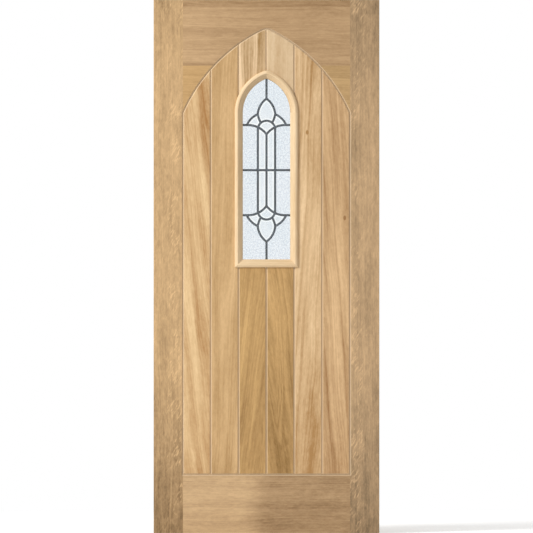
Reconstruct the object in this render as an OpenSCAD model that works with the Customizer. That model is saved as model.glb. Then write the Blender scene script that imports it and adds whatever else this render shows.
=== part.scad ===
// Boarded oak door leaf with a pointed arched head and a small pointed leaded light.
// Front is -Y, up is +Z, and the origin is the middle of the bottom edge. Millimetres.

/* [Leaf] */
// Overall width of the leaf
leaf_w = 838; // [780:1:900]
// Overall height of the leaf
leaf_h = 1981; // [1930:1:2100]
// Thickness of the leaf between its flat faces
leaf_t = 44; // [42:1:54]
// Face width of each stile
stile_w = 109; // [98:1:125]
// Face height of the bottom rail
bottom_rail_h = 218; // [190:1:300]
// Chamfer along the two long outer edges
arris = 1.5; // [0.5:0.25:3]

/* [Arched head] */
// Wood left above the point of the arch
crown_h = 105; // [80:1:130]
// Rise of the arch from its springing to its point
arch_rise = 315; // [290:1:340]
// Radius of each side of the arch
arch_r = 616; // [540:1:800]
// Radius that rounds the point of the arch
tip_r = 40; // [20:1:60]
// Depth of the upper stave of the head, down to the glue line over the spandrels
head_h = 245; // [225:1:270]

/* [Boards] */
// Number of boards across the panel
board_count = 6; // [6:2:6]
// Chamfer on each side of a V groove
vee = 4.5; // [3:0.25:6]
// Length of every tongue
tongue_l = 11; // [8:0.5:13]
// Thickness of every tongue
tongue_t = 14; // [10:1:16]
// Side clearance of a tongue in its groove
tongue_fit = 0.15; // [0.1:0.05:0.3]
// Room past the end of a tongue
tongue_room = 0.5; // [0.3:0.1:1]
// Movement gap round the boarded panel
panel_gap = 0.3; // [0.2:0.05:0.5]

/* [Dowels] */
// Diameter of the frame dowels
dowel_d = 16; // [12:1:18]
// Length of the frame dowels
dowel_l = 100; // [80:2:104]
// Distance from a rail's edge to its first dowel
dowel_edge = 45; // [40:1:50]
// Spacing of the dowels in a rail
dowel_pitch = 60; // [40:1:64]
// Number of dowels at each end of a rail
dowel_count = 3; // [2:1:3]
// Radial glue gap round a dowel
dowel_fit = 0.1; // [0.05:0.05:0.2]
// Loose tongue between head and spandrel: length along the glue line
spline_l = 66; // [40:1:70]
// Distance from the stile to the loose tongue
spline_setback = 8; // [4:1:10]
// Loose tongue height, shared by both pieces
spline_h = 24; // [16:1:28]
// Loose tongue thickness
spline_t = 10; // [8:1:12]

/* [Light] */
// Clear glass width between the beads
sight_w = 176; // [168:1:184]
// Height of the straight sides of the light, up to the springing line
sight_h = 544; // [460:1:600]
// Radius of each side of the light's pointed head
sight_r = 136; // [120:1:150]
// Rebate from the sight line out to the cut edge of the boards
rebate_w = 19; // [17:0.5:20]
// Room between the sealed unit and the cut edge of the boards
unit_room = 3.5; // [2:0.5:4]
// Thickness of the sealed unit
unit_t = 24; // [22:1:26]
// Thickness of each clear pane
pane_t = 4; // [3:0.5:4]
// Thickness of the glazing tape
tape_t = 1.5; // [1:0.25:2]
// Width of the glazing tape
tape_w = 9; // [6:0.5:10]
// Distance that tape and spacers keep behind the sight line
edge_setback = 3; // [2:0.5:4]
// Width of the sealant round the unit's edge
seal_w = 4; // [3:0.5:5]
// Width of each setting block under the unit
block_w = 30; // [20:1:40]

/* [Beads] */
// Face width of the bead
bead_w = 30; // [26:0.5:34]
// Height that the bead stands off the boards
bead_proud = 11; // [9:0.5:12]
// Thickness of the bead at the sight line, where its slope meets the glass
bead_lip = 3; // [2:0.5:4]
// Side clearance of the bead in the rebate
bead_fit = 0.5; // [0.3:0.1:1]
// Diameter of the pins through the back bead
pin_d = 1.6; // [1.2:0.2:2]
// Length of the pins; up to 22 their points stop short of the boards' tongue grooves
pin_l = 20; // [14:1:28]
// Clearance round a pin
pin_fit = 0.05; // [0.05:0.05:0.1]
// Depth of a pin's head under the crest of the bead
pin_punch = 3; // [2.5:0.25:4]
// Angle from the springing line to the lower pin of the arch
pin_turn_low = 18; // [12:1:20]
// Angle from the springing line to the upper pin of the arch
pin_turn_high = 42; // [38:1:50]

/* [Leading] */
// Width of the lead came's face
came_w = 7; // [5:0.5:8]
// Thickness of the came from face to face
came_t = 6; // [5.6:0.2:7]
// Thickness of a came's flange
flange_t = 1; // [0.8:0.1:1.2]
// Thickness of a came's heart
heart_w = 1.6; // [1.2:0.2:2]
// Clearance of the glass in the came
glass_fit = 0.2; // [0.1:0.05:0.3]
// Drop from the springing line to the crossbar
bar_drop = 212.5; // [206:0.5:220]
// Distance from the crossbar to each wing line
wing_rise = 167.5; // [160:0.5:172]
// Distance from the middle to each outer upright
upright_x = 32; // [28:0.5:36]
// Radius of the wing's curved end
wing_r = 84; // [82:0.5:92]
// Distance from the middle to where the wing starts to curve
wing_x = 68; // [66:0.5:70]
// Radius of the fan under the bud
fan_r = 32; // [30:0.5:33]
// Drop from the wing line to the centre of the fan
fan_drop = 16; // [14:0.5:18]
// Height of the bud's tip over the wing line
bud_tip = 98; // [92:0.5:104]
// Half width of the bud at its shoulder
bud_half = 32.5; // [30:0.5:34]
// Height of the bud's shoulder over the wing line
bud_shoulder = 40; // [38:0.5:44]
// Radius of the bud's upper sides
bud_top_r = 78; // [70:1:90]
// Half width of the bud where it meets the fan
bud_foot = 21; // [19:0.5:23]
// Height of the bud's foot over the wing line
bud_foot_z = 8; // [7:0.5:9]
// Radius of the bud's lower sides
bud_low_r = 110; // [100:1:130]
// Distance from the middle to the petal's outer end
petal_x = 73; // [70:0.5:76]
// Radius of the petal's outer edge
petal_r = 77; // [70:1:90]
// Width of the bevel round each bevelled piece
bevel_w = 7; // [5:0.5:8]
// Height of the bevel
bevel_h = 2; // [1:0.25:2.5]

/* [Hidden] */
$fn = 96;
// Overshoot of cutters past a face
over = 1;
// Height by which the arched part of the panel outline laps its straight part
arch_lap = 40;

leaf_half = leaf_w / 2;
face = leaf_t / 2;
panel_half = leaf_half - stile_w;
board_w = 2 * panel_half / board_count;
middle_board = board_count / 2;
groove_d = tongue_l + tongue_room;
groove_half_t = tongue_t / 2 + tongue_fit;
head_z = leaf_h - head_h;
apex_z = leaf_h - crown_h;
spring_z = apex_z - arch_rise;

// Centre of the left side of the arch: on the bisector of the chord from springing to point
arch_chord = norm([panel_half, arch_rise]);
arch_back = sqrt(arch_r * arch_r - arch_chord * arch_chord / 4);
arch_cx = -panel_half / 2 + arch_back * arch_rise / arch_chord;
arch_cz = spring_z + arch_rise / 2 - arch_back * panel_half / arch_chord;

// Centre of the circle that rounds the arch's point, touching both sides from inside,
// and the angle from upright to where it touches
tip_z = arch_cz + sqrt(pow(arch_r - tip_r, 2) - arch_cx * arch_cx);
tip_turn = asin(arch_cx / (arch_r - tip_r));
// Reach of the sector between the touching points, past the top of the leaf
tip_reach = 2 * (leaf_h - tip_z);

// Heights of the dowels in one stile
bottom_dowels = [for (i = [0:dowel_count - 1]) dowel_edge + i * dowel_pitch];
top_dowels = [for (z = bottom_dowels) leaf_h - z];
dowel_z = concat(bottom_dowels, top_dowels, [head_z - dowel_edge]);

sight_half = sight_w / 2;
sill_z = spring_z - sight_h;
light_cx = sight_r - sight_half;
light_mid_z = spring_z - sight_h / 2;
unit_grow = rebate_w - unit_room;
unit_face = unit_t / 2;
cavity_face = unit_face - pane_t;
bead_seat = unit_face + tape_t;
stem_w = rebate_w - bead_fit;
crest_u = bead_w - bead_proud;
crest_v = face + bead_proud;
spacer_out = unit_grow - seal_w;
block_x = sight_half / 2;
pin_u = (crest_u + bead_w) / 2;
pin_head_v = crest_v - pin_punch;
// Places of the pins along a straight bead, as parts of its length
pin_places = [1 / 8, 1 / 2, 7 / 8];
spline_x = panel_half - spline_setback;
// Height over the springing at which the light has drawn in to the edge of the middle boards
tongue_stop = sqrt(max(0, pow(sight_r + rebate_w, 2) - pow(light_cx + board_w, 2)));

border_out = spacer_out;
border_in = border_out - came_w;
border_heart = border_out - heart_w;
channel_t = came_t - 2 * flange_t;
glass_t = channel_t - 2 * glass_fit;
glass_in = heart_w / 2 + glass_fit;
bevel_in = came_w / 2 + glass_fit;
bar_z = spring_z - bar_drop;
// Longer than any line of the leading, so that lines run on into the border
far = 2 * sight_w;
petal_tip = [petal_x, 0];
bud_corner = [bud_half, bud_shoulder];
bud_foot_point = [bud_foot, bud_foot_z];

// Centre of the circle of radius r through a and b, on the left of the way from a to b
function arc_centre(a, b, r) =
    let (chord = b - a, half = norm(chord) / 2, back = sqrt(r * r - half * half))
    (a + b) / 2 + back * [-chord[1], chord[0]] / norm(chord);

bud_top_c = arc_centre(bud_corner, [0, bud_tip], bud_top_r);
bud_low_c = arc_centre(bud_foot_point, bud_corner, bud_low_r);
petal_c = arc_centre(petal_tip, bud_corner, petal_r);
wing_c = [wing_x, -wing_r];
fan_c = [0, -fan_drop];

// Height of the wing's arc over the wing line at a distance from the middle
function wing_z(x) = sqrt(wing_r * wing_r - (wing_x - x) * (wing_x - x)) - wing_r;
upright_end = wing_z(upright_x);
vee_tip = wing_z(0);

// An outline in X and Z given thickness from y0 back to y1
module slab(y0, y1) {
    translate([0, y1, 0]) rotate([90, 0, 0]) linear_extrude(y1 - y0) children();
}

module mirror_if(flip, direction) {
    if (flip) mirror(direction) children();
    else children();
}

module both_sides(direction) {
    children();
    mirror(direction) children();
}

// Half of a section across a V groove, as [depth, growth] pairs from front to back
function vee_edge(flare) = [
    [-face - over, flare * (vee + over)], [vee - face, 0],
    [face - vee, 0], [face + over, flare * (vee + over)]
];

// The panel's outline, grown outward all round
module panel_outline(grow) {
    half = panel_half + grow;
    translate([-half, bottom_rail_h - grow])
        square([2 * half, spring_z - arch_lap - bottom_rail_h + grow]);
    difference() {
        intersection() {
            translate([arch_cx, arch_cz]) circle(arch_r + grow);
            translate([-arch_cx, arch_cz]) circle(arch_r + grow);
            translate([-half, spring_z - 2 * arch_lap]) square([2 * half, arch_rise + 3 * arch_lap]);
        }
        difference() {
            tip_sector();
            translate([0, tip_z]) circle(tip_r + grow);
        }
    }
}

// The sector in which the arch's sharp point is cut back to the small circle
module tip_sector() {
    side = tip_reach * sin(tip_turn);
    top = tip_reach * cos(tip_turn);
    translate([0, tip_z]) polygon([[0, 0], [side, top], [-side, top]]);
}

// A disc whose rim opens or closes towards both faces
module turned(r, edge) {
    rotate([90, 0, 0]) rotate_extrude() polygon(concat(
        [[0, -face - over]],
        [for (e = edge) [r + e[1], e[0]]],
        [[0, face + over]]
    ));
}

// One side of the arch as a solid, down to the foot of the leaf
module arch_side(edge, grow) {
    translate([arch_cx, 0, arch_cz]) turned(arch_r + grow, edge);
    translate([-leaf_w, -face - over, 0])
        cube([2 * leaf_w, leaf_t + 2 * over, spring_z - arch_lap]);
}

// Both sides of the arch, with its point rounded
module arch_form(edge, grow) {
    difference() {
        intersection() {
            arch_side(edge, grow);
            mirror([1, 0, 0]) arch_side(edge, grow);
        }
        difference() {
            slab(-leaf_t, leaf_t) tip_sector();
            translate([0, 0, tip_z]) turned(tip_r + grow, edge);
        }
    }
}

// The panel's ends, sill and arch, with a chamfer that opens (flare 1) or closes (flare -1)
module panel_ends(flare, grow) {
    edge = vee_edge(flare);
    intersection() {
        translate([-leaf_w, 0, 0]) rotate([90, 0, 90]) linear_extrude(2 * leaf_w) polygon(concat(
            [for (e = edge) [e[0], bottom_rail_h - grow - e[1]]],
            [[face + over, leaf_h], [-face - over, leaf_h]]
        ));
        arch_form(edge, grow);
    }
}

// The space that the boards fill, flared where the V groove runs round it
module panel_space() {
    edge = vee_edge(1);
    intersection() {
        linear_extrude(leaf_h) polygon(concat(
            [for (e = edge) [panel_half + e[1], e[0]]],
            [for (i = [3:-1:0]) [-panel_half - edge[i][1], edge[i][0]]]
        ));
        panel_ends(1, 0);
    }
}

module panel_groove() {
    slab(-groove_half_t, groove_half_t) panel_outline(groove_d);
}

module dowel_row(fit) {
    for (z = dowel_z)
        translate([-panel_half - dowel_l / 2 - fit, 0, z])
            rotate([0, 90, 0]) cylinder(d = dowel_d + 2 * fit, h = dowel_l + 2 * fit);
}

module spline(fit) {
    translate([-spline_x - fit, -spline_t / 2 - fit, head_z - spline_h / 2 - fit])
        cube([spline_l + 2 * fit, spline_t + 2 * fit, spline_h + 2 * fit]);
}

// Stile with eased outer edges, ploughed for the stub tongues and the boards
module stile(flip, tint) {
    color(tint) mirror_if(flip, [1, 0, 0]) difference() {
        linear_extrude(leaf_h) polygon([
            [arris - leaf_half, -face], [-panel_half, -face], [-panel_half, face],
            [arris - leaf_half, face], [-leaf_half, face - arris], [-leaf_half, arris - face]
        ]);
        translate([-panel_half - groove_d, -groove_half_t, -over])
            cube([groove_d + over, 2 * groove_half_t, leaf_h + 2 * over]);
        panel_space();
        dowel_row(dowel_fit);
    }
}

// Stub tongue on the left end of a rail, between two heights
module stub_tongue(z0, z1) {
    translate([-panel_half - tongue_l, -tongue_t / 2, z0])
        cube([tongue_l + over, tongue_t, z1 - z0]);
}

module top_rail() {
    color("#bf9b75") difference() {
        union() {
            translate([-panel_half, -face, head_z]) cube([2 * panel_half, leaf_t, head_h]);
            both_sides([1, 0, 0]) stub_tongue(head_z, leaf_h);
        }
        panel_space();
        panel_groove();
        both_sides([1, 0, 0]) dowel_row(dowel_fit);
        both_sides([1, 0, 0]) spline(dowel_fit);
    }
}

// Lower corner of the head, cut from its own stave
module spandrel(flip, tint) {
    color(tint) mirror_if(flip, [1, 0, 0]) difference() {
        union() {
            translate([-panel_half, -face, spring_z]) cube([panel_half, leaf_t, head_z - spring_z]);
            stub_tongue(spring_z + 2 * groove_d, head_z);
        }
        panel_space();
        panel_groove();
        dowel_row(dowel_fit);
        spline(dowel_fit);
    }
}

module bottom_rail() {
    color("#ba9873") difference() {
        union() {
            translate([-panel_half, -face, 0]) cube([2 * panel_half, leaf_t, bottom_rail_h]);
            both_sides([1, 0, 0]) stub_tongue(0, bottom_rail_h - groove_d);
        }
        panel_space();
        panel_groove();
        both_sides([1, 0, 0]) dowel_row(dowel_fit);
    }
}

module dowels(flip) {
    color("#c8a878") mirror_if(flip, [1, 0, 0]) dowel_row(0);
}

module spandrel_splines() {
    color("#c2a06c") both_sides([1, 0, 0]) spline(0);
}

// Board i of the panel: V-edged, tongued on its right edge and ends, grooved on its left edge.
// Beside the light, the tongue that would lie loose in the next board's groove is cut away.
module board(i) {
    left = -panel_half + i * board_w;
    right = left + board_w;
    first = i == 0;
    last = i == board_count - 1;
    x0 = left + (first ? panel_gap : 0);
    x1 = right - (last ? panel_gap : 0);
    difference() {
        union() {
            intersection() {
                linear_extrude(leaf_h) polygon([
                    [x0 + vee, -face], [x1 - vee, -face], [x1, vee - face], [x1, face - vee],
                    [x1 - vee, face], [x0 + vee, face], [x0, face - vee], [x0, vee - face]
                ]);
                panel_ends(-1, -panel_gap);
            }
            slab(-tongue_t / 2, tongue_t / 2) intersection() {
                panel_outline(tongue_l);
                translate([left - (first ? tongue_l : 0), 0])
                    square([right + tongue_l - left + (first ? tongue_l : 0), leaf_h]);
            }
        }
        if (!first) translate([left - over, -groove_half_t, 0])
            cube([groove_d + over, 2 * groove_half_t, leaf_h]);
        slab(-leaf_t, leaf_t) light_outline(rebate_w);
        if (i == middle_board) translate([right, -face, sill_z - rebate_w])
            cube([tongue_l + over, leaf_t, sight_h + rebate_w + tongue_stop]);
        pins(pin_fit);
    }
}

module plain_board(i, tint) {
    color(tint) board(i);
}

// The part of a middle board above or below the light
module cut_board(i, upper, tint) {
    color(tint) intersection() {
        board(i);
        translate([-leaf_w, -leaf_t, upper ? light_mid_z : 0])
            cube([2 * leaf_w, 2 * leaf_t, upper ? leaf_h - light_mid_z : light_mid_z]);
    }
}

// Outline of the light, grown outward from the sight line
module light_outline(grow) {
    half = sight_half + grow;
    translate([-half, sill_z - grow]) square([2 * half, sight_h + grow]);
    intersection() {
        translate([light_cx, spring_z]) circle(sight_r + grow);
        translate([-light_cx, spring_z]) circle(sight_r + grow);
        translate([-half, spring_z]) square([2 * half, sight_r + grow]);
    }
}

module light_ring(inner, outer) {
    difference() {
        light_outline(outer);
        light_outline(inner);
    }
}

// Bead section: X runs out from the sight line, Y out from the middle of the leaf.
// A quarter round rises from the boards, and a flat slope falls from its crest to the glass.
module bead_section() {
    intersection() {
        translate([crest_u, face]) circle(bead_proud);
        translate([crest_u, face]) square(bead_proud);
    }
    polygon([
        [0, bead_seat], [stem_w, bead_seat], [stem_w, face], [crest_u, face],
        [crest_u, crest_v], [0, bead_seat + bead_lip]
    ]);
}

module bead_straight() {
    intersection() {
        translate([0, 0, sill_z - bead_w]) linear_extrude(sight_h + bead_w)
            rotate(180) translate([sight_half, 0]) bead_section();
        slab(-leaf_t, leaf_t) polygon([
            [bead_w - sight_half, sill_z + bead_w], [-2 * bead_w - sight_half, sill_z - 2 * bead_w],
            [-2 * bead_w - sight_half, spring_z], [bead_w - sight_half, spring_z]
        ]);
    }
}

module bead_sill() {
    length = sight_w + 2 * bead_w;
    intersection() {
        translate([-length / 2, 0, sill_z]) mirror([0, 1, 0]) rotate([0, 90, 0])
            linear_extrude(length) bead_section();
        slab(-leaf_t, leaf_t) polygon([
            [0, sill_z + sight_half],
            [sight_half + 2 * bead_w, sill_z - 2 * bead_w],
            [-sight_half - 2 * bead_w, sill_z - 2 * bead_w]
        ]);
    }
}

module bead_arch() {
    intersection() {
        translate([light_cx, 0, spring_z]) rotate([90, 0, 0])
            rotate_extrude(angle = 90, start = 90) translate([sight_r, 0]) bead_section();
        translate([-leaf_w, -leaf_t, 0]) cube([leaf_w, 2 * leaf_t, leaf_h]);
    }
}

// Pins through the back bead into the boards, heads punched under its surface
module pins(fit) {
    sides = [for (k = pin_places) [-sight_half - pin_u, sill_z + k * sight_h]];
    bends = [for (a = [pin_turn_low, pin_turn_high])
        [light_cx - (sight_r + pin_u) * cos(a), spring_z + (sight_r + pin_u) * sin(a)]];
    sill = [[-sight_half / 2, sill_z - pin_u]];
    both_sides([1, 0, 0]) for (p = concat(sides, bends, sill))
        translate([p[0], pin_head_v - pin_l - fit, p[1]]) rotate([-90, 0, 0])
            cylinder(d = pin_d + 2 * fit, h = pin_l + 2 * fit, $fn = 24);
}

// One of the five beads on one face; the back ones are bored for their pins
module bead(shape, flip, back) {
    color("#e6c79d") difference() {
        mirror_if(back, [0, 1, 0]) mirror_if(flip, [1, 0, 0]) {
            if (shape == "straight") bead_straight();
            else if (shape == "sill") bead_sill();
            else bead_arch();
        }
        if (back) pins(pin_fit);
    }
}

module back_bead_pins() {
    color("#8d8a84") pins(0);
}

module glazing_tape(back) {
    color("#3a3a3a") mirror_if(back, [0, 1, 0])
        slab(-bead_seat, -unit_face) light_ring(edge_setback, edge_setback + tape_w);
}

module pane(back) {
    color("#dfe9ec", 0.4) mirror_if(back, [0, 1, 0])
        slab(-unit_face, -cavity_face) light_outline(unit_grow);
}

module spacer(back) {
    color("#b9bdc0") mirror_if(back, [0, 1, 0])
        slab(-cavity_face, -came_t / 2) light_ring(edge_setback, spacer_out);
}

module edge_seal() {
    color("#2b2b2d") slab(-cavity_face, cavity_face) light_ring(spacer_out, unit_grow);
}

module setting_blocks() {
    color("#56606b") both_sides([1, 0, 0])
        translate([block_x - block_w / 2, -unit_face, sill_z - rebate_w])
            cube([block_w, unit_t, unit_room]);
}

module ring(centre, r, w) {
    translate(centre) difference() {
        circle(r + w / 2);
        circle(r - w / 2);
    }
}

// The right half of one motif's lines, w wide, over its wing line
module motif_lines(w) {
    translate([-w / 2, bud_tip]) square([w, far]);
    intersection() {
        ring(bud_top_c, bud_top_r, w);
        translate([0, bud_shoulder]) square([bud_half + w, bud_tip]);
    }
    intersection() {
        ring(bud_low_c, bud_low_r, w);
        translate([0, bud_foot_z]) square([bud_half + w, bud_shoulder - bud_foot_z]);
    }
    difference() {
        intersection() {
            ring(petal_c, petal_r, w);
            translate([bud_foot, 0]) square([petal_x, bud_shoulder]);
        }
        translate(bud_low_c) circle(bud_low_r);
    }
    difference() {
        intersection() {
            ring(fan_c, fan_r, w);
            translate([0, -fan_drop]) square([2 * fan_r, 2 * fan_r]);
        }
        translate(wing_c) circle(wing_r);
    }
    intersection() {
        ring(wing_c, wing_r, w);
        translate([0, -wing_r]) square([wing_x, 2 * wing_r]);
    }
    translate([wing_x, -w / 2]) square([far, w]);
}

// Every line of the leading inside the border
module lead_lines(w) {
    intersection() {
        light_outline(border_out);
        translate([0, bar_z]) {
            translate([-far, -w / 2]) square([2 * far, w]);
            for (up = [0, 1]) mirror([0, up]) {
                for (side = [0, 1]) mirror([side, 0]) {
                    translate([0, wing_rise]) motif_lines(w);
                    translate([upright_x - w / 2, 0]) square([w, wing_rise + upright_end]);
                }
                translate([-w / 2, 0]) square([w, wing_rise + vee_tip]);
            }
        }
    }
}

module came_lattice() {
    color("#5d6468") {
        both_sides([0, 1, 0]) slab(-came_t / 2, flange_t - came_t / 2) {
            lead_lines(came_w);
            light_ring(border_in, border_out);
        }
        slab(-channel_t / 2, channel_t / 2) {
            lead_lines(heart_w);
            light_ring(border_heart, border_out);
        }
    }
}

// A disc that narrows (in) or widens (out) from inset $low to inset $high
module disc_in(c, r) {
    translate(c) cylinder(r1 = r - $low, r2 = r - $high, h = $rise);
}

module disc_out(c, r) {
    translate([c[0], c[1], -over]) cylinder(r = r + $low, h = over);
    translate(c) cylinder(r1 = r + $low, r2 = r + $high, h = $rise);
}

// Shapes of the upper right motif's glass, over its wing line, with Z out of the glass
module bud_shape() {
    difference() {
        intersection() {
            disc_in(bud_top_c, bud_top_r);
            disc_in([-bud_top_c[0], bud_top_c[1]], bud_top_r);
            disc_in(bud_low_c, bud_low_r);
            disc_in([-bud_low_c[0], bud_low_c[1]], bud_low_r);
        }
        disc_out(fan_c, fan_r);
    }
}

module petal_shape() {
    difference() {
        disc_in(petal_c, petal_r);
        disc_out(bud_low_c, bud_low_r);
        disc_out(fan_c, fan_r);
        disc_out(wing_c, wing_r);
        translate([-petal_r, -far, -over]) cube([far + petal_r, far + $low, far]);
        translate([-petal_r, -far, -over]) cube([petal_r, 2 * far, far]);
    }
}

module fan_shape() {
    difference() {
        disc_in(fan_c, fan_r);
        disc_out(wing_c, wing_r);
        disc_out([-wing_c[0], wing_c[1]], wing_r);
    }
}

// What lies under the right wing line, down to the crossbar
module under_wing() {
    disc_in(wing_c, wing_r);
    translate([0, -wing_rise, 0]) cube([far, wing_rise - wing_r, $rise]);
}

module strip_shape() {
    intersection() {
        under_wing();
        rotate([90, 0, 0]) translate([0, 0, -far]) linear_extrude(2 * far) polygon([
            [$low, 0], [upright_x - $low, 0], [upright_x - $high, $rise], [$high, $rise]
        ]);
        rotate([90, 0, 90]) linear_extrude(far) polygon([
            [$low - wing_rise, 0], [far, 0], [far, $rise], [$high - wing_rise, $rise]
        ]);
    }
}

module side_shape(lower) {
    intersection() {
        union() {
            under_wing();
            translate([wing_x, -wing_r, 0]) cube([far, wing_r - $low, $rise]);
        }
        translate([upright_x + $low, $low - wing_rise, 0]) cube([far, far, $rise]);
        light_blank(lower);
    }
}

// Upper corners reach the arch, lower ones the sill
module corner_shape(lower) {
    difference() {
        light_blank(lower);
        disc_out(bud_top_c, bud_top_r);
        disc_out(petal_c, petal_r);
        translate([-far, -2 * far, -over]) cube([2 * far, 2 * far + $low, far]);
        translate([$low - far, -far, -over]) cube([far, 3 * far, far]);
    }
}

// The glass inside the border came, in the motif's frame
module light_blank(lower) {
    translate([0, -wing_rise, 0]) mirror_if(lower, [0, 1, 0]) translate([0, -bar_z, 0])
        linear_extrude($rise) light_outline(border_heart - glass_fit);
}

// Put a motif's glass in the light: upper or lower, right or left
module in_light(lower, left) {
    translate([0, 0, bar_z]) mirror_if(lower, [0, 0, 1]) mirror_if(left, [1, 0, 0])
        rotate([90, 0, 0]) translate([0, wing_rise, 0]) children();
}

// Flat glass, stippled on its face
module quarry(lower, left) {
    color("#e2eaee", 0.6) in_light(lower, left) translate([0, 0, -glass_t / 2])
        let ($low = glass_in, $high = glass_in, $rise = glass_t) children();
}

// Clear glass with a bevel ground round its front face
module bevelled(lower, left) {
    color("#eef4f7", 0.6) in_light(lower, left) {
        translate([0, 0, -glass_t / 2])
            let ($low = glass_in, $high = glass_in, $rise = glass_t) children();
        translate([0, 0, glass_t / 2])
            let ($low = bevel_in, $high = bevel_in + bevel_w, $rise = bevel_h) children();
    }
}

stile(false, "#c9a67b");  // left_stile
stile(true, "#b59873");  // right_stile
top_rail();
spandrel(false, "#cba672");  // left_spandrel
spandrel(true, "#ba996b");  // right_spandrel
bottom_rail();
plain_board(0, "#d8b383");  // board_1
plain_board(1, "#d1aa7a");  // board_2
cut_board(2, true, "#cdad83");  // board_3_upper
cut_board(2, false, "#c09966");  // board_3_lower
cut_board(3, true, "#dabb94");  // board_4_upper
cut_board(3, false, "#ba9461");  // board_4_lower
plain_board(4, "#d4b083");  // board_5
plain_board(5, "#cca77b");  // board_6
dowels(false);  // left_dowels
dowels(true);  // right_dowels
spandrel_splines();
bead("straight", false, false);  // front_bead_left
bead("straight", true, false);  // front_bead_right
bead("sill", false, false);  // front_bead_sill
bead("arch", false, false);  // front_bead_arch_left
bead("arch", true, false);  // front_bead_arch_right
bead("straight", false, true);  // back_bead_left
bead("straight", true, true);  // back_bead_right
bead("sill", false, true);  // back_bead_sill
bead("arch", false, true);  // back_bead_arch_left
bead("arch", true, true);  // back_bead_arch_right
back_bead_pins();
glazing_tape(false);  // front_glazing_tape
glazing_tape(true);  // back_glazing_tape
pane(false);  // front_pane
pane(true);  // back_pane
spacer(false);  // front_spacer
spacer(true);  // back_spacer
edge_seal();
setting_blocks();
came_lattice();
bevelled(false, false) bud_shape();  // upper_bud
bevelled(false, true) petal_shape();  // upper_left_petal
bevelled(false, false) petal_shape();  // upper_right_petal
bevelled(false, false) fan_shape();  // upper_fan
bevelled(false, true) strip_shape();  // upper_left_strip
bevelled(false, false) strip_shape();  // upper_right_strip
quarry(false, true) side_shape(false);  // upper_left_quarry
quarry(false, false) side_shape(false);  // upper_right_quarry
quarry(false, true) corner_shape(false);  // top_left_quarry
quarry(false, false) corner_shape(false);  // top_right_quarry
bevelled(true, false) bud_shape();  // lower_bud
bevelled(true, true) petal_shape();  // lower_left_petal
bevelled(true, false) petal_shape();  // lower_right_petal
bevelled(true, false) fan_shape();  // lower_fan
bevelled(true, true) strip_shape();  // lower_left_strip
bevelled(true, false) strip_shape();  // lower_right_strip
quarry(true, true) side_shape(true);  // lower_left_quarry
quarry(true, false) side_shape(true);  // lower_right_quarry
quarry(true, true) corner_shape(true);  // bottom_left_quarry
quarry(true, false) corner_shape(true);  // bottom_right_quarry
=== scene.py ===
"""Dresses the arched oak door leaf: oiled boards, planted beads, a leaded light and a plain studio."""

import logging
import math
from dataclasses import dataclass, field
from enum import Enum
from typing import Any

import bmesh
import bpy
import numpy as np
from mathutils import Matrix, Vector


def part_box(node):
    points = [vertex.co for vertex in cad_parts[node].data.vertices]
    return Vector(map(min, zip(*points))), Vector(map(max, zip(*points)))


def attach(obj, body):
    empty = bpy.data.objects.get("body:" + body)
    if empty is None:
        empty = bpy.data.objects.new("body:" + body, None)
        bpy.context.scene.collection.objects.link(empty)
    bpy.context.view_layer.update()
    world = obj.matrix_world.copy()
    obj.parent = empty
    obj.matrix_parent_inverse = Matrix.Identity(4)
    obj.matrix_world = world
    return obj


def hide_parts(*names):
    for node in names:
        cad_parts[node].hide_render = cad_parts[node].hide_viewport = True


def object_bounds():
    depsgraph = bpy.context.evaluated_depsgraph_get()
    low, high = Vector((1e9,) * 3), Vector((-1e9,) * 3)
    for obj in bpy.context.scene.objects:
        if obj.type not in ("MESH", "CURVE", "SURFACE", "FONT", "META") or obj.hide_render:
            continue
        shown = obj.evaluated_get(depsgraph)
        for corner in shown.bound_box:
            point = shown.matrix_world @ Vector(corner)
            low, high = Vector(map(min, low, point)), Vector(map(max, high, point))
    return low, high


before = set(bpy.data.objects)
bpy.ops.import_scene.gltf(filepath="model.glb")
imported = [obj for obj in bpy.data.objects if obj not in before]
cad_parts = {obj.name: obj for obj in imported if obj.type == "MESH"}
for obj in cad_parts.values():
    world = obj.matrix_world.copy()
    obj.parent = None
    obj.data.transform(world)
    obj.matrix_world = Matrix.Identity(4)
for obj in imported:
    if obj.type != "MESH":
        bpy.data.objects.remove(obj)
CAD_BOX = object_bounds()

LOG = logging.getLogger("door")
MM = 0.001
GRAIN_MAP = "grain"
SAME_POINT = 1e-7
SMOOTH: dict[str, Any] = {"interpolation_type": "SMOOTHSTEP"}
COLOURS: dict[str, Any] = {"data_type": "RGBA", "clamp_factor": True, "out": 2}

Socket = bpy.types.NodeSocket
Tree = bpy.types.NodeTree
Material = bpy.types.Material
Object = bpy.types.Object
Pair = tuple[float, float]
Triple = tuple[float, float, float]


class Grain(Enum):
    """Which way the fibres of a piece of wood run."""

    UPRIGHT = "along Z"
    ACROSS = "along X"
    FOLLOWS = "along the piece's own UV map"


class Face(Enum):
    """Side of the leaf, as the sign of Y."""

    FRONT = -1.0
    BACK = 1.0


class Span(Enum):
    """Piece of the bead ring round the light."""

    LEFT = "left"
    RIGHT = "right"
    SILL = "sill"
    ARCH_LEFT = "arch_left"
    ARCH_RIGHT = "arch_right"


def linear(code: str) -> tuple[float, float, float, float]:
    """Turn an sRGB hex colour into the linear colour that shaders take.

    Args:
        code: Colour as "#rrggbb".

    Returns:
        Linear red, green, blue and an alpha of 1.
    """
    srgb = np.array([int(code[i:i + 2], 16) for i in (1, 3, 5)]) / 255.0
    low, high = srgb / 12.92, ((srgb + 0.055) / 1.055) ** 2.4
    red, green, blue = np.where(srgb <= 0.04045, low, high).tolist()
    return red, green, blue, 1.0


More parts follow.
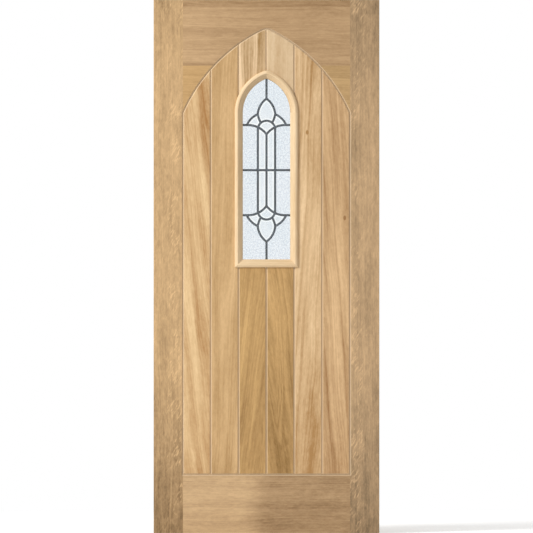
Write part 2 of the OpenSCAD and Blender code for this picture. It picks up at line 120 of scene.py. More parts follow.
def add(tree: Tree, kind: str, *values: Any, links: dict[int | str, Any] | None = None,
        out: int | str = 0, **settings: Any) -> Socket:
    """Add a node with its settings and links. A socket is linked, and any other value is set.

    Args:
        tree: Node tree that gets the node.
        kind: Blender's type name of the node, after "ShaderNode", and any operation after a dot.
        *values: What goes into the first inputs, in their order.
        links: What goes into other inputs, by name or index.
        out: Output to hand back.
        **settings: Properties of the node.

    Returns:
        The chosen output socket; an output node has none.
    """
    kind, _, operation = kind.partition(".")
    node = tree.nodes.new(f"ShaderNode{kind}")
    if operation:
        node.operation = operation
    for name, value in settings.items():
        setattr(node, name, value)
    for key, value in (dict(enumerate(values)) | (links or {})).items():
        if isinstance(value, Socket):
            tree.links.new(value, node.inputs[key])
        else:
            node.inputs[key].default_value = value
    return node.outputs[out] if node.outputs else None


def blank(name: str) -> tuple[Material, Tree]:
    """Make a material with an empty node tree.

    Args:
        name: Name of the material.

    Returns:
        The material and its tree.
    """
    material = bpy.data.materials.new(name)
    material.use_nodes = True
    material.node_tree.nodes.clear()
    return material, material.node_tree


def finish_surface(tree: Tree, height: Socket, relief: float, share: float,
                   inputs: dict[int | str, Any]) -> None:
    """Close a material with a shader whose fine relief follows a height.

    Args:
        tree: Node tree.
        height: Height of the relief, from 0 to 1.
        relief: Its depth in millimetres.
        share: Share of it that shows.
        inputs: The shader's other inputs.
    """
    bump = add(tree, "Bump", links={"Strength": share, "Distance": relief * MM, "Height": height})
    shader = add(tree, "BsdfPrincipled", links=inputs | {"Normal": bump})
    add(tree, "OutputMaterial", shader)


@dataclass(frozen=True)
class Pattern:
    """Random pattern with features of a real size.

    The cell is in millimetres along the position's three axes, and the shift sets the patterns of
    one piece apart.
    """

    cell: Triple
    detail: float = 2.0
    rough: float = 0.5
    shift: float = 0.0

    def draw(self, tree: Tree, at: Socket, seed: float = 0.0) -> Socket:
        """Add the pattern, whose values lie about a half.

        Args:
            tree: Node tree.
            at: Position in metres.
            seed: Fourth coordinate, which sets pieces apart.

        Returns:
            Value of the pattern.
        """
        per_metre = tuple(1.0 / (size * MM) for size in self.cell)
        scaled = add(tree, "VectorMath.MULTIPLY", at, per_metre)
        return add(tree, "TexNoise", noise_dimensions="4D", links={
            "Vector": scaled, "W": seed + self.shift, "Scale": 1.0,
            "Detail": self.detail, "Roughness": self.rough})

    def swing(self, tree: Tree, at: Socket, seed: float) -> Socket:
        """Add the pattern less a half, so that it swings both ways."""
        return add(tree, "Math.SUBTRACT", self.draw(tree, at, seed), 0.5)


# Oak, across, through and along the grain. Real fibres and pores are finer than half a millimetre,
# so the fibres, streaks and ripples of the colour are drawn as coarse as they need to show.
RING_BEND = Pattern((80.0, 80.0, 520.0))
BAND = Pattern((26.0, 30.0, 420.0), detail=1.0, rough=0.45, shift=1.7)
STREAK = Pattern((8.0, 10.0, 360.0), detail=1.5, shift=3.4)
FIBRE = Pattern((3.2, 3.2, 60.0), rough=0.6, shift=5.1)
MOTTLE = Pattern((30.0, 34.0, 120.0), detail=3.0, rough=0.55, shift=6.8)
# Rays and fibres that dip in and out of the face: short ripples, strongest on quarter-sawn wood.
RIPPLE = Pattern((7.0, 9.0, 22.0), detail=2.5, rough=0.65, shift=8.5)
RAISED_FIBRE = Pattern((1.4, 1.4, 26.0), shift=3.0)
DRIFT_BEND = Pattern((30.0, 40.0, 200.0), shift=12.0)
RAY_DASH = Pattern((5.0, 9.0, 18.0), shift=8.0)
RAY_DRIFT = Pattern((40.0, 45.0, 110.0), shift=9.0)

# How ring widths change from year to year, and how dark a poor and a good year's pores are.
YEAR_RATE, YEAR_SWING = 0.45, 2.4
YEAR_DARK = (0.3, 0.65, 0.25, 1.0)
# Sharpness of the dark side of a ring, and its mean darkness.
PORE_POWER, PORE_MEAN = 1.8, 0.3
# Lean of the ray dashes, the values of both patterns between which they come in, and how far past
# the middle of the piece, in millimetres, they grow from few to all.
RAY_LEAN = -0.5
RAY_DASH_STEP, RAY_DRIFT_STEP = (0.48, 0.7), (0.44, 0.6)
RAY_SIDE_STEP, RAY_FEW = (-20.0, 25.0), 0.2
# V cuts get a painted lift: a paler, greyer colour that lifts the shade in them. Its colour and
# share, the depths under the face between which it goes out at the top and at the foot, and the
# strip along the leaf's own edges that has none. Millimetres.
CUT_PAINTED_LIFT, CUT_LIFT_SHARE = "#cfb99b", 0.6
CUT_TOP, CUT_FOOT, CUT_EDGE = (0.7, 0.1), (6.0, 5.0), (7.0, 5.0)
# Pin knot: its length against its width, where it fades in radii, and its tone.
KNOT_SQUASH, KNOT_FADE, KNOT_TONE = 0.6, (0.4, 1.8), 0.8


@dataclass
class Spot:
    """Where each point of a piece of wood lies, in metres and with the grain along the third axis."""

    tree: Tree
    at: Socket
    across: Socket
    through: Socket
    along: Socket
    low: Vector
    high: Vector
    length: float


@dataclass(frozen=True)
class OakFinish:
    """Planed and oiled European oak, cut from a log of growth rings.

    Lengths are in millimetres; strengths are shares of the step from pale to deep.
    """

    pale: str
    deep: str
    grain: Grain = Grain.UPRIGHT
    seed: float = 0.0
    base: float = 0.4
    ring: float = 9.0
    pith: float = 160.0
    depth: float = 40.0
    taper: float = 10.0
    wander: float = 56.0
    lean: float = 0.0
    figure: float = 0.3
    band: float = 1.0
    streak: float = 0.5
    fibre: float = 0.2
    mottle: float = 0.3
    ripple: float = 0.65
    fleck: float = 0.0
    foot: float = 0.0
    foot_fade: Pair = (0.0, 0.4)
    head: float = 0.0
    head_fade: Pair = (0.6, 1.0)
    drift_bend: float = 0.16
    edges: Pair = (0.0, 0.0)
    low_edge: float = 16.0
    high_edge: Pair = (34.0, 20.0)
    inner: float = 0.0
    knot: Triple | None = None
    relief: float = 0.12
    relief_share: float = 0.35
    roughness: Pair = (0.46, 0.62)
    specular: float = 0.3

    def material(self, name: str, low: Vector, high: Vector) -> Material:
        """Build the wood as a solid texture, so grain runs through edges and grooves.

        Rings are circles about a pith line beside or behind the piece. The distance to that line,
        bent by slow noise, is counted in ring widths, and each ring darkens where its pores lie.
        Streaks, fibres and rays are noise drawn out along the grain.

        Args:
            name: Name of the material.
            low: Lower corner of the piece's box.
            high: Upper corner of the piece's box.

        Returns:
            The material.
        """
        material, tree = blank(f"{name} planed oiled oak")
        spot = self.place(tree, low, high)
        tone, pores = self.figure_tone(spot)
        changes = ((True, self.drift_tone), (self.fleck, self.fleck_tone),
                   (any(self.edges), self.edge_tone), (self.knot, self.knot_tone))
        for wanted, change in changes:
            if wanted:
                tone = add(tree, "Math.ADD", tone, change(spot))
        colour = add(tree, "Mix", tone, links={6: linear(self.pale), 7: linear(self.deep)}, **COLOURS)
        if self.grain is not Grain.FOLLOWS:
            # Painted light: the V cuts are coloured paler and greyer than the faces, which lifts their
            # shade.
            cut = self.painted_cut_lift_mask(spot)
            colour = add(tree, "Mix", cut, links={6: colour, 7: linear(CUT_PAINTED_LIFT)}, **COLOURS)
        # Open pores and raised fibres are about a tenth of a millimetre: a fine drag in low light.
        fibres = RAISED_FIBRE.draw(tree, spot.at, self.seed)
        height = add(tree, "Math.SUBTRACT", fibres, pores)
        # Oil leaves a soft satin, duller over the open pores.
        satin = add(tree, "MapRange", pores, 0.0, 1.0, *self.roughness, **SMOOTH)
        finish_surface(tree, height, self.relief, self.relief_share, {
            "Base Color": colour, "Roughness": satin, "Specular IOR Level": self.specular})
        return material

    def place(self, tree: Tree, low: Vector, high: Vector) -> Spot:
        """Turn the piece's own coordinates so that the grain runs along the third axis.

        Args:
            tree: Node tree.
            low: Lower corner of the piece's box.
            high: Upper corner of the piece's box.

        Returns:
            Where each point lies.
        """
        if self.grain is Grain.FOLLOWS:
            uv = add(tree, "UVMap", uv_map=GRAIN_MAP)
            run, girth, _ = add(tree, "SeparateXYZ", uv).node.outputs
            at, length = add(tree, "CombineXYZ", links={0: girth, 2: run}), (high - low).length
        else:
            own = add(tree, "TexCoord", out="Object")
            at, length = add(tree, "VectorMath.SUBTRACT", own, (low + high) / 2), high.z - low.z
        if self.grain is Grain.ACROSS:
            at = add(tree, "VectorRotate", links={"Vector": at, "Angle": math.pi / 2},
                     rotation_type="Y_AXIS")
            length = high.x - low.x
        return Spot(tree, at, *add(tree, "SeparateXYZ", at).node.outputs, low, high, length)

    def figure_tone(self, spot: Spot) -> tuple[Socket, Socket]:
        """Work out how deep the colour is at each point.

        The distance to the pith line has a part sideways and a part backward. Counted in ring
        widths, it gives a cosine wave, whose power is the pores' darkness. Each layer of noise adds
        its swing.

        Args:
            spot: Where each point lies.

        Returns:
            Tone from pale at 0 to deep at 1, and the darkness of the ring's pores.
        """
        tree, d, along = spot.tree, spot.through, spot.along
        bend = RING_BEND.swing(tree, spot.at, self.seed)
        bend = add(tree, "Math.MULTIPLY", bend, self.wander * MM)
        side = add(tree, "Math.SUBTRACT", spot.across, self.pith * MM)
        side = add(tree, "Math.ADD", side, bend)
        side = add(tree, "Math.MULTIPLY_ADD", along, self.lean * MM, side)
        back = add(tree, "Math.MULTIPLY_ADD", along, self.taper * MM, self.depth * MM)
        for part in (d, bend):
            back = add(tree, "Math.ADD", back, part)
        reach = add(tree, "CombineXYZ", side, back)
        reach = add(tree, "VectorMath.LENGTH", reach, out="Value")
        count = add(tree, "Math.DIVIDE", reach, self.ring * MM)
        # Good and bad years: rings of uneven width and darkness.
        year = add(tree, "Math.MULTIPLY_ADD", count, YEAR_RATE, self.seed)
        year = add(tree, "TexNoise", noise_dimensions="1D",
                   links={"W": year, "Scale": 1.0, "Detail": 1.0})
        count = add(tree, "Math.MULTIPLY_ADD", year, YEAR_SWING, count)
        wave = add(tree, "Math.MULTIPLY", count, math.tau)
        wave = add(tree, "Math.COSINE", wave)
        pores = add(tree, "Math.MULTIPLY_ADD", wave, 0.5, 0.5)
        pores = add(tree, "Math.POWER", pores, PORE_POWER)
        dark = add(tree, "MapRange", year, *YEAR_DARK, **SMOOTH)
        pores = add(tree, "Math.MULTIPLY", pores, dark)
        base = self.base - PORE_MEAN * self.figure
        tone = add(tree, "Math.MULTIPLY_ADD", pores, self.figure, base)
        flow = add(tree, "CombineXYZ", side, d, along)
        layers = ((self.band, BAND), (self.streak, STREAK), (self.fibre, FIBRE),
                  (self.mottle, MOTTLE), (self.ripple, RIPPLE))
        for strength, layer in layers:
            swing = layer.swing(tree, flow, self.seed)
            tone = add(tree, "Math.MULTIPLY_ADD", swing, strength, tone)
        return tone, pores

    def drift_tone(self, spot: Spot) -> Socket:
        """Change the tone slowly towards either end of the piece.

        With s from 0 at the foot to 1 at the head, bent by slow noise, the foot's tone fades out
        and the head's fades in, each by a smooth step over its own share of the length.

        Args:
            spot: Where each point lies.

        Returns:
            Tone to add.
        """
        tree, half = spot.tree, spot.length / 2
        s = add(tree, "MapRange", spot.along, -half, half, clamp=False)
        bend = DRIFT_BEND.swing(tree, spot.at, self.seed)
        s = add(tree, "Math.MULTIPLY_ADD", bend, self.drift_bend, s)
        foot = add(tree, "MapRange", s, *self.foot_fade, self.foot, 0.0, **SMOOTH)
        head = add(tree, "MapRange", s, *self.head_fade, 0.0, self.head, **SMOOTH)
        return add(tree, "Math.ADD", foot, head)

    def fleck_tone(self, spot: Spot) -> Socket:
        """Pick out medullary rays cut along their length: short slanted dashes by the inner edge.

        Dashes are noise drawn out along a leaning line and kept where it is high. A slow noise and
        the distance towards the inner edge set where they show.

        Args:
            spot: Where each point lies.

        Returns:
            Tone to add, below zero on the pale dashes.
        """
        tree = spot.tree
        slant = add(tree, "Math.MULTIPLY_ADD", spot.along, RAY_LEAN, spot.across)
        slanted = add(tree, "CombineXYZ", slant, spot.through, spot.along)
        dash = RAY_DASH.draw(tree, slanted, self.seed)
        dash = add(tree, "MapRange", dash, *RAY_DASH_STEP, 0.0, -self.fleck, **SMOOTH)
        drift = RAY_DRIFT.draw(tree, spot.at, self.seed)
        drift = add(tree, "MapRange", drift, *RAY_DRIFT_STEP, **SMOOTH)
        side = add(tree, "Math.MULTIPLY", spot.across, self.inner)
        start, end = (v * MM for v in RAY_SIDE_STEP)
        side = add(tree, "MapRange", side, start, end, RAY_FEW, 1.0, **SMOOTH)
        for share in (drift, side):
            dash = add(tree, "Math.MULTIPLY", dash, share)
        return dash

    def edge_tone(self, spot: Spot) -> Socket:
        """Darken the rail in bands along its lower and its upper edge.

        Args:
            spot: Where each point lies.

        Returns:
            Tone to add.
        """
        tree, a, half = spot.tree, spot.across, (spot.high - spot.low).z / 2
        end = self.low_edge * MM - half
        low = add(tree, "MapRange", a, -half, end, self.edges[0], 0.0, **SMOOTH)
        start, end = (half - v * MM for v in self.high_edge)
        high = add(tree, "MapRange", a, start, end, 0.0, self.edges[1], **SMOOTH)
        return add(tree, "Math.ADD", low, high)

    def knot_tone(self, spot: Spot) -> Socket:
        """Darken a pin knot: full within its radius and fading out along the grain.

        Args:
            spot: Where each point lies.

        Returns:
            Tone to add.
        """
        tree, middle = spot.tree, (spot.low + spot.high) / 2
        x, z, radius = (v * MM for v in self.knot)
        dx = add(tree, "Math.SUBTRACT", spot.across, x - middle.x)
        dz = add(tree, "Math.SUBTRACT", spot.along, z - middle.z)
        dz = add(tree, "Math.MULTIPLY", dz, KNOT_SQUASH)
        gap = add(tree, "CombineXYZ", dx, dz)
        gap = add(tree, "VectorMath.LENGTH", gap, out="Value")
        start, end = (radius * v for v in KNOT_FADE)
        return add(tree, "MapRange", gap, start, end, KNOT_TONE, 0.0, **SMOOTH)

    def painted_cut_lift_mask(self, spot: Spot) -> Socket:
        """Find the V cuts that get the painted lift of their shade: the slopes just under either face,
        away from the leaf's own edges.

        Args:
            spot: Where each point lies.

        Returns:
            Share of the painted lift's colour.
        """
        tree, face = spot.tree, spot.high.y
        deep = add(tree, "Math.ABSOLUTE", spot.through)
        start, end = (face - v * MM for v in CUT_TOP)
        top = add(tree, "MapRange", deep, start, end, CUT_LIFT_SHARE, 0.0, **SMOOTH)
        foot = add(tree, "MapRange", deep, *(face - v * MM for v in CUT_FOOT), **SMOOTH)
        mask = add(tree, "Math.MULTIPLY", top, foot)
        own = add(tree, "TexCoord", out="Object")
        own = add(tree, "SeparateXYZ", own).node.outputs
        for axis in (0, 2):
            low, high = CAD_BOX[0][axis], CAD_BOX[1][axis]
            off = add(tree, "Math.SUBTRACT", own[axis], (low + high) / 2)
            off = add(tree, "Math.ABSOLUTE", off)
            start, end = ((high - low) / 2 - v * MM for v in CUT_EDGE)
            clear = add(tree, "MapRange", off, start, end, 1.0, 0.0, **SMOOTH)
            mask = add(tree, "Math.MULTIPLY", mask, clear)
        return mask


@dataclass(frozen=True)
class PlainFinish:
    """A manufactured surface whose colour drifts slightly over a few millimetres."""

    made: str
    pale: str
    deep: str
    roughness: float
    metallic: float = 0.0
    cell: Triple = (6.0, 6.0, 6.0)
    relief: float = 0.02
    specular: float = 0.5
    colour_step: Pair = (0.35, 0.65)
    gloss_step: Pair = (0.3, 0.7)
    gloss_swing: float = 0.06
    relief_share: float = 0.4

    def material(self, name: str) -> Material:
        """Build the surface from one noise that moves its colour, gloss and relief together.

        Args:
            name: Name of the material.

        Returns:
            The material.
        """
        material, tree = blank(f"{name} {self.made}")
        at = add(tree, "TexCoord", out="Object")
        cloud = Pattern(self.cell, detail=3.0, rough=0.6, shift=1.0).draw(tree, at)
        share = add(tree, "MapRange", cloud, *self.colour_step, **SMOOTH)
        colour = add(tree, "Mix", share, links={6: linear(self.pale), 7: linear(self.deep)}, **COLOURS)
        gloss = add(tree, "MapRange", cloud, *self.gloss_step, self.roughness - self.gloss_swing,
                    self.roughness + self.gloss_swing, **SMOOTH)
        finish_surface(tree, cloud, self.relief, self.relief_share, {
            "Base Color": colour, "Roughness": gloss, "Metallic": self.metallic,
            "Specular IOR Level": self.specular})
        return material


@dataclass(frozen=True)
class GlassFinish:
    """Float glass, ground and polished glass, or rolled stippled glass. Lengths in millimetres."""

    made: str
    pale: str
    deep: str
    cell: float
    relief: float
    painted_highlight_depths: Pair | None = None
    painted_bevel_highlight: str = "#ffffff"
    colour_step: Pair = (0.36, 0.64)
    relief_share: float = 0.5
    roughness: float = 0.02
    ior: float = 1.5

    def material(self, name: str) -> Material:
        """Build a transmitting surface; a bevelled slope, told apart by its depth in the glass, gets a
        painted white highlight.

        Args:
            name: Name of the material.

        Returns:
            The material.
        """
        material, tree = blank(f"{name} {self.made}")
        at = add(tree, "TexCoord", out="Object")
        dimple = Pattern((self.cell,) * 3, rough=0.55, shift=4.0).draw(tree, at)
        # Painted light: the colour mottles with the dimples, in place of the light that they refract.
        share = add(tree, "MapRange", dimple, *self.colour_step, **SMOOTH)
        colour = add(tree, "Mix", share, links={6: linear(self.pale), 7: linear(self.deep)}, **COLOURS)
        if self.painted_highlight_depths:
            # Painted highlight: the polished slope is coloured whiter than the flat it surrounds.
            depth = add(tree, "SeparateXYZ", at, out=1)
            slope = add(tree, "MapRange", depth, *(v * MM for v in self.painted_highlight_depths), **SMOOTH)
            colour = add(tree, "Mix", slope, links={6: colour, 7: linear(self.painted_bevel_highlight)}, **COLOURS)
        finish_surface(tree, dimple, self.relief, self.relief_share, {
            "Base Color": colour, "Roughness": self.roughness, "IOR": self.ior,
            "Transmission Weight": 1.0})
        return material


@dataclass
class Patch:
    """A surface given as a grid of points, closed along one or both of its directions.

    The first index runs along the path and the second round the profile.
    """

    grid: np.ndarray
    loop: bool = False
    uv: np.ndarray | None = None

    def faces(self) -> tuple[np.ndarray, list[np.ndarray]]:
        """Join neighbouring grid points into quads, with a cap on each open end.

        Returns:
            Quad indices turned outward, and the caps.
        """
        n, m = self.grid.shape[:2]
        index = np.arange(n * m).reshape(n, m)
        rows = np.vstack([index, index[:1]]) if self.loop else index
        quads = quads_of(np.hstack([rows, rows[:, :1]]))
        caps = [] if self.loop else [index[0], index[-1][::-1]]
        if self.volume(quads, caps) < 0:
            quads, caps = quads[:, ::-1], [cap[::-1] for cap in caps]
        return quads, caps

    def volume(self, quads: np.ndarray, caps: list[np.ndarray]) -> float:
        """Signed volume: the sum of the tetrahedra from the grid's middle to each triangle.

        Args:
            quads: Point indices of the quads.
            caps: Point indices of each cap.

        Returns:
            Six times the volume, above zero if the faces point outward.
        """
        points = self.grid.reshape(-1, 3) - self.grid.reshape(-1, 3).mean(0)
        fans = [np.stack([np.full(len(c) - 2, c[0]), c[1:-1], c[2:]], -1) for c in caps]
        triangles = np.vstack([quads[:, [0, 1, 2]], quads[:, [0, 2, 3]], *fans])
        p, q, r = (points[triangles[:, k]] for k in range(3))
        return float(np.einsum("ij,ij->", p, np.cross(q, r)))


def quads_of(index: np.ndarray) -> np.ndarray:
    """Join the neighbours in a grid of point indices into quads."""
    corners = [index[:-1, :-1], index[1:, :-1], index[1:, 1:], index[:-1, 1:]]
    return np.stack(corners, -1).reshape(-1, 4)


def link(name: str, data: Any) -> Object:
    """Put data into the scene as a new object.

    Args:
        name: Name of the object.
        data: Its mesh, lamp or camera.

    Returns:
        The object.
    """
    thing = bpy.data.objects.new(name, data)
    bpy.context.scene.collection.objects.link(thing)
    return thing


def build(name: str, patches: list[Patch], sharp: float, weld: bool = False) -> Object:
    """Put patches into one object of the scene.

    Args:
        name: Name of the object.
        patches: Surfaces to join.
        sharp: Angle in degrees over which an edge stays sharp.
        weld: Whether points that coincide, such as poles, become one.

    Returns:
        The object, riding on the root body.
    """
    starts = np.cumsum([0] + [p.grid[..., 0].size for p in patches])
    faces: list[list[int]] = []
    for patch, start in zip(patches, starts):
        quads, caps = patch.faces()
        faces += (quads + start).tolist() + [(cap + start).tolist() for cap in caps]
    points = np.vstack([p.grid.reshape(-1, 3) for p in patches])
    mesh = bpy.data.meshes.new(name)
    mesh.from_pydata(points.tolist(), [], faces)
    if all(p.uv is not None for p in patches):
        uv = np.vstack([p.uv.reshape(-1, 2) for p in patches])
        corner = np.empty(len(mesh.loops), np.int32)
        mesh.loops.foreach_get("vertex_index", corner)
        mesh.uv_layers.new(name=GRAIN_MAP).data.foreach_set("uv", uv[corner].ravel())
    if weld:
        work = bmesh.new()
        work.from_mesh(mesh)
        bmesh.ops.remove_doubles(work, verts=work.verts, dist=SAME_POINT)
        work.to_mesh(mesh)
        work.free()
    mesh.polygons.foreach_set("use_smooth", np.ones(len(mesh.polygons), bool))
    mesh.set_sharp_from_angle(angle=math.radians(sharp))
    piece = link(name, mesh)
    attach(piece, "root")
    return piece


def dress(piece: Object, material: Material) -> None:
    """Give a piece one material in place of any it has."""
    piece.data.materials.clear()
    piece.data.materials.append(material)


@dataclass
class LightOutline:
    """Pointed outline of the light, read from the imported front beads. Lengths in metres."""

    half: float
    sill: float
    spring: float
    radius: float
    bead_w: float

    @classmethod
    def from_frame(cls) -> "LightOutline":
        """Measure the sight line from the boxes of the left and arched beads.

        The arched bead's outer edge has radius s + w about a centre s - half past the middle, so its
        height h over the springing gives s = (h^2 - w^2 + half^2) / (2 (w + half)).

        Returns:
            The outline at the sight line.
        """
        low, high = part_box("front_bead_left")
        half, bead_w = -high.x, high.x - low.x
        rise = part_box("front_bead_arch_left")[1].z - high.z
        radius = (rise ** 2 - bead_w ** 2 + half ** 2) / (2 * (bead_w + half))
        return cls(half, low.z + bead_w, high.z, radius, bead_w)

    def jamb(self, grow: np.ndarray) -> np.ndarray:
        """Left side grown outward: from the mitre, as far down as out, up to the springing.

        Args:
            grow: Distances out from the sight line.

        Returns:
            Points in X and Z, one row along the path and one column for each distance.
        """
        x = np.stack([-self.half - grow] * 2)
        return np.stack([x, np.stack([self.sill - grow, np.full_like(grow, self.spring)])], -1)

    def arch(self, grow: np.ndarray, steps: int) -> np.ndarray:
        """Left arc grown outward, rounded at its point.

        It turns about the arc's centre as far as the sight line's own point, and then about that point
        to upright, so that the outline is rounder the farther out it lies.

        Args:
            grow: Distances out from the sight line.
            steps: Points along the arc; a quarter as many go round the point.

        Returns:
            Points in X and Z, as for the jamb.
        """
        centre, r = self.radius - self.half, self.radius + grow
        last = math.acos(centre / self.radius)
        turn = np.linspace(0.0, last, steps)[:, None]
        tip = np.linspace(last, math.pi / 2, steps // 4)[1:, None]
        x = np.concatenate([centre - r * np.cos(turn), -grow * np.cos(tip)])
        z = np.concatenate([r * np.sin(turn), self.radius * math.sin(last) + grow * np.sin(tip)])
        return np.stack([x, self.spring + z], -1)

    def bottom(self, grow: np.ndarray) -> np.ndarray:
        """Sill grown downward, from mitre to mitre, as for the jamb."""
        z = np.stack([self.sill - grow] * 2)
        return np.stack([np.stack([-self.half - grow, self.half + grow]), z], -1)

    def round(self, grow: np.ndarray, steps: int) -> np.ndarray:
        """Whole outline grown outward: up the left side, over the point and down the right."""
        left = np.concatenate([self.jamb(grow), self.arch(grow, steps)[1:]])
        return np.concatenate([left, (left * (-1, 1))[-2::-1]])

    def point(self, grow: float) -> float:
        """Height of the outline's point when grown outward."""
        return float(self.arch(np.array([grow]), 2)[-1, 0, 1])


def stand(flat: np.ndarray, y: np.ndarray) -> np.ndarray:
    """Set points in X and Z at a depth y for each column."""
    return np.stack([flat[..., 0], np.broadcast_to(y, flat.shape[:2]), flat[..., 1]], -1)


@dataclass
class BeadRing:
    """Five planted beads round the light on one face: sloped, rounded, stemmed, mitred at the sill."""

    face: Face
    outline: LightOutline
    stem_w: float = 18.5 * MM
    lip: float = 3.0 * MM
    ease: float = 1.5 * MM
    steps: int = 40
    round_steps: int = 14
    ease_steps: int = 5
    pieces: list[Object] = field(default_factory=list)

    def profile(self) -> tuple[np.ndarray, np.ndarray]:
        """Section: a flat slope up from the glass to the crest, a quarter circle down, and the stem.

        The crest is eased by a small circle that touches the slope and the top of the quarter circle.

        Returns:
            Distances out from the sight line, and out from the middle of the leaf.
        """
        low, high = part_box("front_bead_left")
        crest, seat, face = -low.y, -high.y, -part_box("board_1")[0].y
        proud = crest - face
        inner = self.outline.bead_w - proud
        turn = np.linspace(0.0, math.pi / 2, self.round_steps)
        slope = math.atan2(crest - seat - self.lip, inner)
        back = self.ease * math.tan(slope / 2)
        bend = np.linspace(-slope, 0.0, self.ease_steps)
        out = np.concatenate([[0.0], inner - back + self.ease * np.sin(bend),
                              inner + proud * np.sin(turn), [self.stem_w, self.stem_w, 0.0]])
        up = np.concatenate([[seat + self.lip], crest - self.ease + self.ease * np.cos(bend),
                             face + proud * np.cos(turn), [face, seat, seat]])
        return out, up

    def flat(self, span: Span, out: np.ndarray) -> np.ndarray:
        """Carry the section along one span of the light's outline.

        Args:
            span: Which bead.
            out: The section's distances out from the sight line.

        Returns:
            Points in X and Z.
        """
        if span is Span.SILL:
            return self.outline.bottom(out)
        straight = span in (Span.LEFT, Span.RIGHT)
        left = self.outline.jamb(out) if straight else self.outline.arch(out, self.steps)
        return left * (-1, 1) if span in (Span.RIGHT, Span.ARCH_RIGHT) else left

    def make(self) -> None:
        """Build the five beads, each with a UV map of metres along and round it.

        Every bead starts a metre farther along the map, so that no two have the same grain.
        """
        out, up = self.profile()
        girth = np.concatenate([[0.0], np.cumsum(np.hypot(np.diff(out), np.diff(up)))])
        for number, span in enumerate(Span):
            flat = self.flat(span, out)
            step = np.hypot(*np.diff(flat, axis=0).transpose(2, 0, 1))
            run = np.concatenate([np.zeros((1, len(out))), np.cumsum(step, 0)]) + number
            uv = np.stack([run, np.broadcast_to(girth, run.shape)], -1)
            node = f"{self.face.name.lower()}_bead_{span.value}"
            moulding = Patch(stand(flat, self.face.value * up), uv=uv)
            piece = build(f"{node}_moulding", [moulding], sharp=40.0)
            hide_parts(node)
            self.pieces.append(piece)

    def finish(self, material: Material) -> None:
        """Dress the beads in one oak.

        Args:
            material: The oak.
        """
        for piece in self.pieces:
            dress(piece, material)
            LOG.info("bead %s", piece.name)


